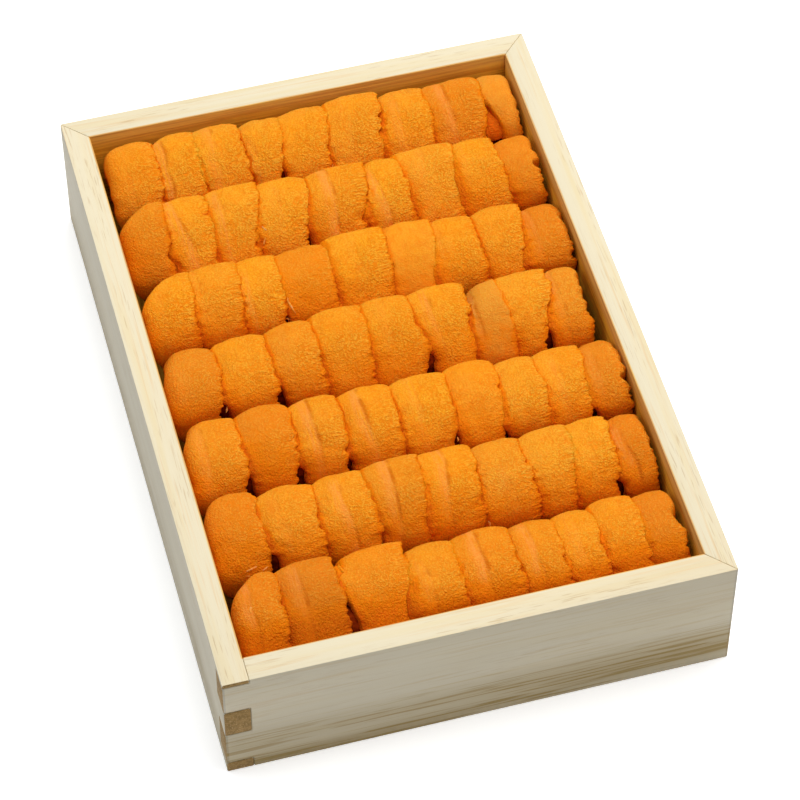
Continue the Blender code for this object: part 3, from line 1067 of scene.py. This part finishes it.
    def draw_groove(self):
        """Draws the line down the tongue, and the smoother band on its left."""
        place, noise, y, ahead = self.place, self.rough.noise, self.noise_y, self.ahead
        no_line = (self.left[0] - 5.0, self.left[0] - 5.0, 0.0, 0, 1)
        crest_x, front_x, strength, start, end = GROOVES.get(self.key, no_line)
        off = self.x - between(crest_x, front_x) - 0.3 * noise(y / 4.5, 41.0 + place)
        shown = smooth(ahead, start - 1.0, start + 1.0) * (1 - smooth(ahead, end - 1.5, end + 1.5))
        uneven = (0.65 + 0.6 * noise(y / 2.3, 19.0 + place)).clip(0.1)
        self.groove = strength * shown * near(off, 0.5) * uneven
        band = (1 - smooth(off, -0.6, 0.3)) * smooth(strength, 0.1, 0.9)
        self.band = band * smooth(ahead, start - 4.0, start + 1.0) * smooth(off, -3.6, -1.0)

    def raise_grain(self):
        """Raises the hills, heads and fringe of the skin, and sinks its lines and tears."""
        place, x, y, across = self.place, self.noise_x, self.noise_y, self.across
        noise, heads, smoothness = self.rough.noise, self.rough.heads, 1 - 0.4 * self.band
        clear_of_wall = INNER_X - 0.12
        self.x = self.x.clip(-clear_of_wall, clear_of_wall)
        frizzy = across + 0.3 * self.low + 0.25 * noise(x / 2.6, y / 3.1)
        grain = self.marks["grain"] * (0.65 + 0.35 * smooth(frizzy, 0.35, 1.0))
        self.grain = grain * (0.78 + 0.22 * self.low) * smoothness
        fringe = smooth(across + 0.12 * noise(y / 2.0, 5.0 + place), 0.6, 0.95)
        self.fringe = fringe * self.marks["grain"]
        relief = 0.2 * noise(x / 4.6, y / 5.2) + 0.12 * noise(x / 2.1, y / 2.3)
        relief = relief + (0.04 + 0.16 * self.grain) * heads(x / 0.85, y / 0.8)
        relief = relief + 0.12 * self.fringe * noise(x / 2.0, y / 0.5)
        relief = relief + 0.16 * self.fringe * heads(x / 0.62 + 9.0, y / 0.66)
        relief = relief + 0.08 * smooth(across, 0.8, 0.97) * self.teeth * self.grain
        relief = relief - 0.05 * self.groove - 0.06 * self.band - 0.4 * self.torn
        self.sinks = self.sinks - relief * self.on_top

    def paint(self):
        """Two sets of four channels, as roe_material reads them."""
        row, place, marks, rough = self.row, self.place, self.marks, self.rough
        across, ahead, low = self.across, self.ahead, self.low
        from_left, from_right = self.x - self.left, self.right - self.x
        at_front = smooth(ahead, 2.0, 10.0)
        # Painted shade: deep beside the creases, in the pits at the front and in the foot
        depth = 0.25 + 0.75 * smooth(crease_depth(row, place, rough), 0.2, 1.0)
        side = (1 - smooth(across, -0.02, 0.05 + 0.05 * low)) * depth * (not self.first)
        side = np.maximum(side, 0.6 * self.edge * smooth(across, 0.94, 1.0))
        pits = smooth(ahead, 5.0, 12.0) * (near(from_left, 1.6) + near(from_right, 1.3))
        foot = 0.2 * smooth(-ahead, 10.0, FRONT + 3.0) + 0.24 * FOOT_SHADES[row] * at_front
        # The left side lies in the shade of the neighbour, but not in the back row.
        shade = 0.3 * np.exp(-from_left.clip(0) / 3.0) * smooth(ahead, -5.0, 8.0)
        shade = shade * (0.7 + 0.6 * rough.noise(6.1 * place, 2.9 * row + 0.3)).clip(0)
        shade = shade * SHADED.get(self.key, 1.0) * (0.3 if row == 0 else 1.0)
        # A mark's shade is painted shade, and under 0 painted light.
        shade = shade + marks["shade"] * (0.6 + 0.4 * low)
        light = (1 - 0.8 * side) * (1 - foot) * (1 - 0.35 * pits) * (1 - shade)
        # The torn strips get painted shade too.
        light = light * (1 - 0.6 * self.torn.clip(0, 1))
        deep = (1 - light) * self.on_top + (1 - self.on_top)
        # Darker tongues, partly painted shade, and painted shade at the front of the rows.
        dark = marks["dark"] * (0.6 + 0.4 * low) + 0.06 * FOOT_SHADES[row] * at_front
        dullness = marks["dullness"] + (0.5 * smooth(-ahead, 2.0, 8.0) if row == 0 else 0.0)
        return {
            "tone": (marks["warmth"], dullness, self.grain, self.fringe),
            "creases": (deep, self.groove, self.band, dark),
        }


def store(mesh, name, channels):
    """Writes up to four channels to a colour attribute on the mesh's points."""
    values = np.ones((len(mesh.vertices), 4), np.float32)
    for k, channel in enumerate(channels):
        values[:, k] = channel
    attribute = mesh.attributes.new(name, "FLOAT_COLOR", "POINT")
    attribute.data.foreach_set("color", values.ravel())


def shaped_copy(blank, name, points, material):
    """A copy of the blank with its own mesh and its points moved, in metres."""
    mesh = blank.data.copy()
    mesh.vertices.foreach_set("co", points.astype(np.float32).ravel())
    mesh.materials.append(material)
    copy = bpy.data.objects.new(name, mesh)
    bpy.context.collection.objects.link(copy)
    return copy


def join_roe(parts, name):
    """Joins the parts to one piece of roe, which rides with the tray."""
    deselect_all()
    for part in parts:
        part.data.update()
        part.select_set(True)
    piece = parts[0]
    bpy.context.view_layer.objects.active = piece
    bpy.ops.object.join()
    piece.name = name
    piece.data.name = name
    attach(piece, "root")
    return piece


def make_tongue_blank():
    """One plain tongue, rolled up from a grid, and each point's place round and along it."""
    deselect_all()
    bpy.ops.mesh.primitive_grid_add(x_subdivisions=AROUND, y_subdivisions=ALONG, size=2.0)
    blank = bpy.context.object
    blank.name = "tongue_blank"
    mesh = blank.data
    flat = np.empty(len(mesh.vertices) * 3, np.float32)
    mesh.vertices.foreach_get("co", flat)
    places = (flat.reshape(-1, 3)[:, :2] + 1) / 2 * (AROUND, ALONG)
    around, along = places.round().astype(np.int32).T
    shares, sinks = section()
    x = (0.5 + (shares[:, None] - 0.5) * OPEN) * USUAL_WIDTH
    y, z = on_arch(0, TIP_SINK + (sinks[:, None] - TIP_SINK) * OPEN, 0.0, 0.0)
    rolled = np.stack(np.broadcast_arrays(x, y, z), axis=-1) * MM
    mesh.vertices.foreach_set("co", rolled[around, along].astype(np.float32).ravel())
    names = ("around", "along")
    for name, values in zip(names, (around, along)):
        attribute = mesh.attributes.new(name, "INT", "POINT")
        attribute.data.foreach_set("value", np.ascontiguousarray(values))
    bpy.ops.object.mode_set(mode="EDIT")
    bpy.ops.mesh.select_all(action="SELECT")
    bpy.ops.mesh.remove_doubles(threshold=1e-7)
    bpy.ops.mesh.select_all(action="SELECT")
    bpy.ops.mesh.normals_make_consistent(inside=False)
    bpy.ops.object.mode_set(mode="OBJECT")
    bpy.ops.object.shade_smooth()
    address = []
    for name in names:
        values = np.empty(len(mesh.vertices), np.int32)
        mesh.attributes[name].data.foreach_get("value", values)
        mesh.attributes.remove(mesh.attributes[name])
        address.append(values)
    return blank, address


def make_core(row, material):
    """A low block with rounded shoulders that fills a row under its tongues."""
    inset, over_floor, under_crest, shoulder = 4.0, 0.3, 5.0, 3.2
    half_span = ROW_SPAN / 2 - inset
    back, front = row_back(row) - inset, row_back(row) - ROW_DEPTHS[row] + inset
    top = RIM - CREST_BELOW_RIM - under_crest
    core = add_block(
        f"core_{row + 1}",
        Vector((-half_span, front, FLOOR / MM + over_floor)) * MM,
        Vector((half_span, back, top)) * MM,
    )
    bm = bmesh.from_edit_mesh(core.data)
    for edge in bm.edges:
        edge.select_set(all(v.co.z > 0.9 * top * MM for v in edge.verts))
    bmesh.update_edit_mesh(core.data)
    bpy.ops.mesh.bevel(offset=shoulder * MM, segments=5, affect="EDGES")
    bpy.ops.object.mode_set(mode="OBJECT")
    bpy.ops.object.shade_smooth()
    core.data.materials.append(material)
    return core


def make_row(row, blank, address, chance, roe, depth, look):
    """One row as a single piece: its tongues and the core under them."""
    rough = Unevenness(ROUGHNESS_SEED + row)
    parts = []
    for place, lift in enumerate(crest_lifts(row, chance)):
        points, paint = Tongue(row, place, lift, rough).make(look.fray)
        part = shaped_copy(blank, f"tongue_{row + 1}_{place + 1}", points[*address], roe)
        for name, channels in paint.items():
            spread = [np.broadcast_to(c, points.shape[:2])[*address] for c in channels]
            store(part.data, name, spread)
        parts.append(part)
    parts.append(make_core(row, depth))
    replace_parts(join_roe(parts, f"roe_tongues_{row + 1}"), f"roe_row_{row + 1}")


# Loose lumps of roe: row, place across and along, height over the row's skin, size across,
# along and up, turn in degrees, how warm it is and how much painted shade it has
LUMPS = (
    (7, -26.3, -5.2, -1.5, (3.8, 5.0, 1.3), -20, 1.5, 0.8),
    (7, -26.2, -1.0, -1.9, (1.4, 5.8, 1.4), 4, 1.8, 1.2),
    (7, -25.4, -5.2, -1.0, (0.8, 3.2, 0.8), -14, 0.6, 0.3),
    (1, 45.2, 8.2, -2.8, (8.6, 15.0, 1.6), 4, 1.8, 1.5),
)
# Pale films left on the roe: row, place of the middle, length, width and turn in degrees
FILMS = (
    (1, 3.2, 12.2, 2.4, 0.5, 8),
    (2, -17.7, 6.0, 1.8, 0.4, -25),
    (2, -18.3, 9.4, 2.2, 0.4, 24),
    (3, -17.2, 8.6, 4.8, 0.45, -14),
    (3, -18.3, 12.4, 1.3, 0.45, -40),
    (4, -38.3, 12.4, 2.2, 0.5, 10),
    (5, 9.8, 11.8, 1.6, 0.35, -12),
    (6, -43.3, 11.4, 2.8, 0.5, 76),
    (6, -40.4, 12.3, 1.7, 0.4, 62),
    (6, -44.6, 13.0, 1.2, 0.3, 110),
    (6, 10.6, 13.8, 1.8, 0.45, -10),
    (7, -26.0, -5.2, 2.8, 0.6, 28),
    (7, -46.6, 1.0, 1.6, 0.5, 20),
)


def over_row(row, x, ahead, height):
    """Points over a row's arch, in metres, from arrays of millimetres."""
    lift = -CREST_CROWN * (x / (ROW_SPAN / 2)) ** 2
    angles = np.interp(ahead, FROM_CREST, ANGLES)
    y, z = on_arch(row, -height, lift, 0.0, angles, 0.0)
    return np.stack([x, y, z], axis=-1) * MM


def make_scrap_blank():
    """A small lumpy ball about one unit across."""
    deselect_all()
    bpy.ops.mesh.primitive_ico_sphere_add(subdivisions=3, radius=0.5)
    blank = bpy.context.object
    blank.name = "scrap_blank"
    bpy.ops.object.mode_set(mode="EDIT")
    bpy.ops.mesh.select_all(action="SELECT")
    bpy.ops.transform.vertex_random(offset=0.1, normal=0.5, seed=UNEVENNESS_SEED)
    bpy.ops.mesh.vertices_smooth(factor=0.5, repeat=2)
    bpy.ops.mesh.subdivide(number_cuts=1, smoothness=1.0)
    bpy.ops.object.mode_set(mode="OBJECT")
    bpy.ops.object.shade_smooth()
    return blank


def turned_blank(blank, size, turn):
    """The blank's points at a size in millimetres, turned on the row's face.

    They are mirrored, because the front of the tray lies at lower Y.
    """
    flat = np.empty(len(blank.data.vertices) * 3)
    blank.data.vertices.foreach_get("co", flat)
    across, along, up = flat.reshape(-1, 3).T * (np.array(size) * (1, -1, 1))[:, None]
    cos, sin = math.cos(math.radians(turn)), math.sin(math.radians(turn))
    return across * cos - along * sin, across * sin + along * cos, up


def make_lump(blank, rough, roe, row, x, ahead, height, size, turn, warmth, deep):
    """A ragged lump of roe."""
    across, along, up = turned_blank(blank, size, turn)
    across = across + 0.3 * rough.noise((x + across) / 1.5, (ahead + along) / 1.3 + 7.0)
    along = along + 0.3 * rough.noise((x + across) / 1.3 + 5.0, (ahead + along) / 1.5)
    bumps = 0.35 * rough.noise((x + across) / 0.7, (ahead + along) / 2.5)
    points = over_row(row - 1, x + across, ahead + along, height + up * (1.0 + bumps))
    lump = shaped_copy(blank, "lump", points, roe)
    store(lump.data, "tone", (warmth, 0.0, 0.5, 0.6))
    # Painted shade on the lump, more lower down
    store(lump.data, "creases", (deep - 0.5 * up / size[2], 0.0, 0.0, 0.0))
    return lump


def make_film(blank, rough, skin, tree, row, x, ahead, length, width, turn):
    """A thin film laid on the roe, which is found by rays from over the row."""
    thickness, clear, start_height, reach, usual_depth = 0.16, 0.12, 2.0, 6.0, 4.0
    across, along, up = turned_blank(blank, (width, length, thickness), turn)
    across = x + across + 0.25 * rough.noise(along / 1.1, x)
    along = ahead + along
    over = over_row(row - 1, across, along, np.full_like(up, start_height))
    under = over_row(row - 1, across, along, np.full_like(up, start_height - reach))
    depths = []
    for start, end in zip(over, under):
        way = Vector(end) - Vector(start)
        distance = tree.ray_cast(Vector(start), way.normalized(), way.length)[3]
        missed = distance is None
        depths.append(usual_depth if missed else distance / way.length * reach)
    # The film follows the skin half way, and bridges the hollows.
    settled = 0.5 * np.array(depths) + 0.5 * np.mean(depths)
    height = start_height - settled + clear + up
    return shaped_copy(blank, "film", over_row(row - 1, across, along, height), skin)


# ------------------------------------------------------------------- add-on


def colour_property(name, description, default):
    return bpy.props.FloatVectorProperty(
        name=name,
        description=description,
        default=default,
        subtype="COLOR",
        size=3,
        min=0.0,
        max=1.0,
    )


def number_property(name, description, default, **limits):
    return bpy.props.FloatProperty(name=name, description=description, default=default, **limits)


def length_property(name, description, default, precision, longest):
    limits = {"min": 0.0, "max": longest, "precision": precision, "unit": "LENGTH"}
    return number_property(name, description, default, **limits)


def share_property(name, description, default, highest=1.0):
    limits = {"min": 0.0, "max": highest, "subtype": "FACTOR"}
    return number_property(name, description, default, **limits)


class TrayLook(bpy.types.PropertyGroup):
    joint: length_property("Joint", "Clear space left in the joints between boards", 0.00002, 5, 0.001)
    edge: length_property("Eased edge", "Width of the rounding on the boards' edges", 0.0003, 4, 0.002)
    # How far the inside takes the roe's orange: partly a real stain, partly painted reflection.
    stain_and_reflection: share_property("Stain", "How far the roe has stained the inside of the tray", 1.0)
    wood_colour: colour_property("Wood", "Palest wood", (0.765, 0.675, 0.48))
    straw_colour: colour_property("Straw", "Straw-coloured grain", (0.76, 0.64, 0.40))
    band_colour: colour_property("Bands", "Long brownish bands", (0.64, 0.52, 0.325))
    streak_colour: colour_property("Streaks", "Fine pinkish streaks", (0.74, 0.555, 0.315))
    fleck_colour: colour_property("Flecks", "Short pores", (0.55, 0.37, 0.18))
    # The outer faces' grey is painted shade.
    outer_shade_colour: colour_property("Outer faces", "Greyer outer faces", (0.38, 0.35, 0.285))
    foot_colour: colour_property("Foot", "Brown bands near the foot", (0.27, 0.185, 0.055))
    end_colour: colour_property("End grain", "Sawn ends of the boards", (0.29, 0.175, 0.055))
    end_dark: colour_property("End grain rings", "Darker rings on the ends", (0.21, 0.125, 0.035))
    # The stained wood's orange is partly a real stain and partly painted reflection of the roe.
    stain_and_reflection_colour: colour_property("Stained wood", "Wood beside the roe", (0.82, 0.45, 0.036))
    stain_and_reflection_dark: colour_property("Stained grain", "Grain in the stained wood", (0.62, 0.27, 0.014))


class RoeLook(bpy.types.PropertyGroup):
    fray: share_property("Fray", "How ragged the right edges of the tongues are", 1.0, 2.0)
    grain_depth: length_property("Grain", "Height of the fine grain", 0.00034, 5, 0.002)
    roe_colour: colour_property("Roe", "Main orange", (0.99, 0.36, 0.009))
    head_colour: colour_property("Paler roe", "Paler wide patches", (0.96, 0.40, 0.026))
    # Tips: painted highlight. Between: redder streaks, and painted shade between the grains.
    tip_highlight_colour: colour_property("Tips", "Tips of the grain", (1.0, 0.45, 0.042))
    streak_and_hollow_shade_colour: colour_property("Between", "Between the grains", (0.87, 0.22, 0.003))
    # Patches: redder patches, and painted shade beside the creases.
    patch_and_shade_colour: colour_property("Patches", "Redder patches", (0.91, 0.235, 0.002))
    warm_colour: colour_property("Warm tongue", "Reddest tongues", (0.74, 0.165, 0.010))
    dull_colour: colour_property("Dull tongue", "Dull yellow tongues", (0.72, 0.345, 0.05))
    band_colour: colour_property("Band", "Smooth band beside a line", (0.92, 0.335, 0.075))
    groove_colour: colour_property("Groove", "Line down a tongue", (0.66, 0.15, 0.003))
    # Crease: painted shade deep in the creases.
    crease_shade_colour: colour_property("Crease", "Deep in the creases", (0.76, 0.14, 0.003))
    # Dark tongue: darker tongues, partly painted shade, and painted shade at the front of the rows.
    dark_and_shade_colour: colour_property("Dark tongue", "Darkest tongues", (0.34, 0.07, 0.002))
    # Depth: painted shade on the roe under the tongues.
    core_shade_colour: colour_property("Depth", "Under the tongues", (0.27, 0.03, 0.003))
    core_shade_dark: colour_property("Depth, darker", "Deepest under them", (0.12, 0.009, 0.001))
    film_colour: colour_property("Film", "Pale film on the roe", (0.83, 0.36, 0.10))
    film_dark: colour_property("Film, darker", "Orange under the film", (0.86, 0.30, 0.03))


class StageLook(bpy.types.PropertyGroup):
    floor_colour: colour_property("Floor", "Plain pale floor", (0.92, 0.92, 0.92))
    key_power: number_property(
        "Overhead light", "Power of the large soft light above", 21.9, min=0.0, unit="POWER"
    )
    fill_power: number_property(
        "Left light", "Power of the soft light at the left", 1.4, min=0.0, unit="POWER"
    )
    sky: number_property("Surroundings", "Brightness of the pale surroundings", 0.1, min=0.0)
    camera_azimuth: number_property(
        "Azimuth", "Camera's turn round the tray", math.radians(-15.22), subtype="ANGLE"
    )
    camera_elevation: number_property(
        "Elevation", "Camera's angle above the floor", math.radians(52.10), subtype="ANGLE"
    )
    camera_distance: number_property(
        "Distance", "Camera's distance from its target", 0.83306, unit="LENGTH"
    )
    camera_target: bpy.props.FloatVectorProperty(
        name="Target",
        description="Point that the camera looks at",
        default=(0.0059, 0.00655, 0.0),
        subtype="TRANSLATION",
        size=3,
    )
    camera_lens: number_property("Lens", "Focal length in millimetres", 158.41)


class ROETRAY_OT_make_boards(bpy.types.Operator):
    """Makes the five boards of the tray with their joints and wood"""

    bl_idname = "roe_tray.make_boards"
    bl_label = "Make Boards"

    def execute(self, context):
        tray = context.scene.roe_tray_boards
        wood_x = wood_material("pale wood, grain across", 0.0, tray)
        wood_y = wood_material("pale wood, grain along", math.pi / 2, tray)
        make_boards(tray, wood_x, wood_y, end_grain_material(tray))
        return {"FINISHED"}


class ROETRAY_OT_make_rows(bpy.types.Operator):
    """Makes the rows of roe, each of nine tongues over a core"""

    bl_idname = "roe_tray.make_rows"
    bl_label = "Make Rows of Roe"

    def execute(self, context):
        look = context.scene.roe_tray_roe
        roe = roe_material(look)
        depth = shaded_core_material(look)
        blank, address = make_tongue_blank()
        chance = random.Random(UNEVENNESS_SEED)
        for row in range(len(ROW_DEPTHS)):
            make_row(row, blank, address, chance, roe, depth, look)
        bpy.data.objects.remove(blank)
        return {"FINISHED"}


class ROETRAY_OT_make_scraps(bpy.types.Operator):
    """Makes the loose scraps and films that lie in the gaps of the rows"""

    bl_idname = "roe_tray.make_scraps"
    bl_label = "Make Scraps"

    def execute(self, context):
        roe = bpy.data.materials["sea urchin roe"]
        skin = film_material(context.scene.roe_tray_roe)
        rough = Unevenness(SCRAPS_SEED)
        blank = make_scrap_blank()
        scraps = [make_lump(blank, rough, roe, *lump) for lump in LUMPS]
        context.view_layer.update()
        depsgraph = context.evaluated_depsgraph_get()
        trees = {}
        for film in FILMS:
            if film[0] not in trees:
                row = bpy.data.objects[f"roe_tongues_{film[0]}"]
                trees[film[0]] = BVHTree.FromObject(row, depsgraph)
            scraps.append(make_film(blank, rough, skin, trees[film[0]], *film))
        bpy.data.objects.remove(blank)
        join_roe(scraps, "roe_scraps")
        return {"FINISHED"}


class ROETRAY_OT_make_stage(bpy.types.Operator):
    """Makes the floor, the lights and the camera"""

    bl_idname = "roe_tray.make_stage"
    bl_label = "Make Stage"

    def execute(self, context):
        look = context.scene.roe_tray_stage
        self.add_floor(look)
        white, cool = (1.0, 1.0, 1.0), (0.75, 0.88, 1.0)
        overhead, at_left = (0.26, 0.14, 1.12), (-0.78, 0.12, 0.56)
        self.add_light("overhead light", overhead, 1.5, look.key_power, white)
        self.add_light("left light", at_left, 0.5, look.fill_power, cool)
        self.add_sky(context, look)
        self.add_camera(context, look)
        context.scene.view_settings.view_transform = "Standard"
        return {"FINISHED"}

    def add_floor(self, look):
        deselect_all()
        bpy.ops.mesh.primitive_plane_add(size=8.0)
        floor = bpy.context.object
        floor.name = "floor"
        graph = Graph(
            "pale floor",
            {
                "Base Color": (*look.floor_colour, 1.0),
                "Roughness": 0.9,
                "Specular IOR Level": 0.1,
                "Emission Color": (1.0, 1.0, 1.0, 1.0),
                "Emission Strength": 0.4,
            },
        )
        floor.data.materials.append(graph.material)

    def add_light(self, name, place, size, power, colour):
        """A square light that faces the middle of the tray."""
        light = bpy.data.lights.new(name, "AREA")
        light.size = size
        light.energy = power
        light.color = colour
        lamp = bpy.data.objects.new(name, light)
        bpy.context.collection.objects.link(lamp)
        lamp.location = place
        lamp.rotation_euler = (-Vector(place)).to_track_quat("-Z", "Y").to_euler()

    def add_sky(self, context, look):
        world = context.scene.world or bpy.data.worlds.new("surroundings")
        context.scene.world = world
        world.use_nodes = True
        background = world.node_tree.nodes["Background"]
        background.inputs["Color"].default_value = (1.0, 1.0, 1.0, 1.0)
        background.inputs["Strength"].default_value = look.sky

    def add_camera(self, context, look):
        turn, height = look.camera_azimuth, look.camera_elevation
        level = math.cos(height)
        back = Vector((math.sin(turn) * level, -math.cos(turn) * level, math.sin(height)))
        place = Vector(look.camera_target) + back * look.camera_distance
        right = Vector((0.0, 0.0, 1.0)).cross(back).normalized()
        axes = Matrix((right, back.cross(right), back)).transposed()
        lens = bpy.data.cameras.new("camera")
        lens.lens = look.camera_lens
        lens.sensor_width = 36.0
        lens.clip_start = 0.01
        camera = bpy.data.objects.new("camera", lens)
        context.collection.objects.link(camera)
        camera.matrix_world = Matrix.Translation(place) @ axes.to_4x4()
        context.scene.camera = camera


class VIEW3D_PT_roe_tray(bpy.types.Panel):
    """Sizes, colours and steps of the roe tray"""

    bl_label = "Roe Tray"
    bl_space_type = "VIEW_3D"
    bl_region_type = "UI"
    bl_category = "Roe Tray"

    def draw(self, context):
        steps = (
            ("roe_tray_boards", "roe_tray.make_boards"),
            ("roe_tray_roe", "roe_tray.make_rows", "roe_tray.make_scraps"),
            ("roe_tray_stage", "roe_tray.make_stage"),
        )
        for group, *operators in steps:
            box = self.layout.box()
            settings = getattr(context.scene, group)
            for name in settings.bl_rna.properties.keys():
                if name not in ("rna_type", "name"):
                    box.prop(settings, name)
            for operator in operators:
                box.operator(operator)


CLASSES = (
    TrayLook,
    RoeLook,
    StageLook,
    ROETRAY_OT_make_boards,
    ROETRAY_OT_make_rows,
    ROETRAY_OT_make_scraps,
    ROETRAY_OT_make_stage,
    VIEW3D_PT_roe_tray,
)
GROUPS = {
    "roe_tray_boards": TrayLook,
    "roe_tray_roe": RoeLook,
    "roe_tray_stage": StageLook,
}


def register():
    for cls in CLASSES:
        bpy.utils.register_class(cls)
    for name, group in GROUPS.items():
        setattr(bpy.types.Scene, name, bpy.props.PointerProperty(type=group))


def unregister():
    for name in GROUPS:
        delattr(bpy.types.Scene, name)
    for cls in reversed(CLASSES):
        bpy.utils.unregister_class(cls)


def main():
    register()
    bpy.ops.roe_tray.make_boards()
    bpy.ops.roe_tray.make_rows()
    bpy.ops.roe_tray.make_scraps()
    bpy.ops.roe_tray.make_stage()


if __name__ == "__main__":
    main()
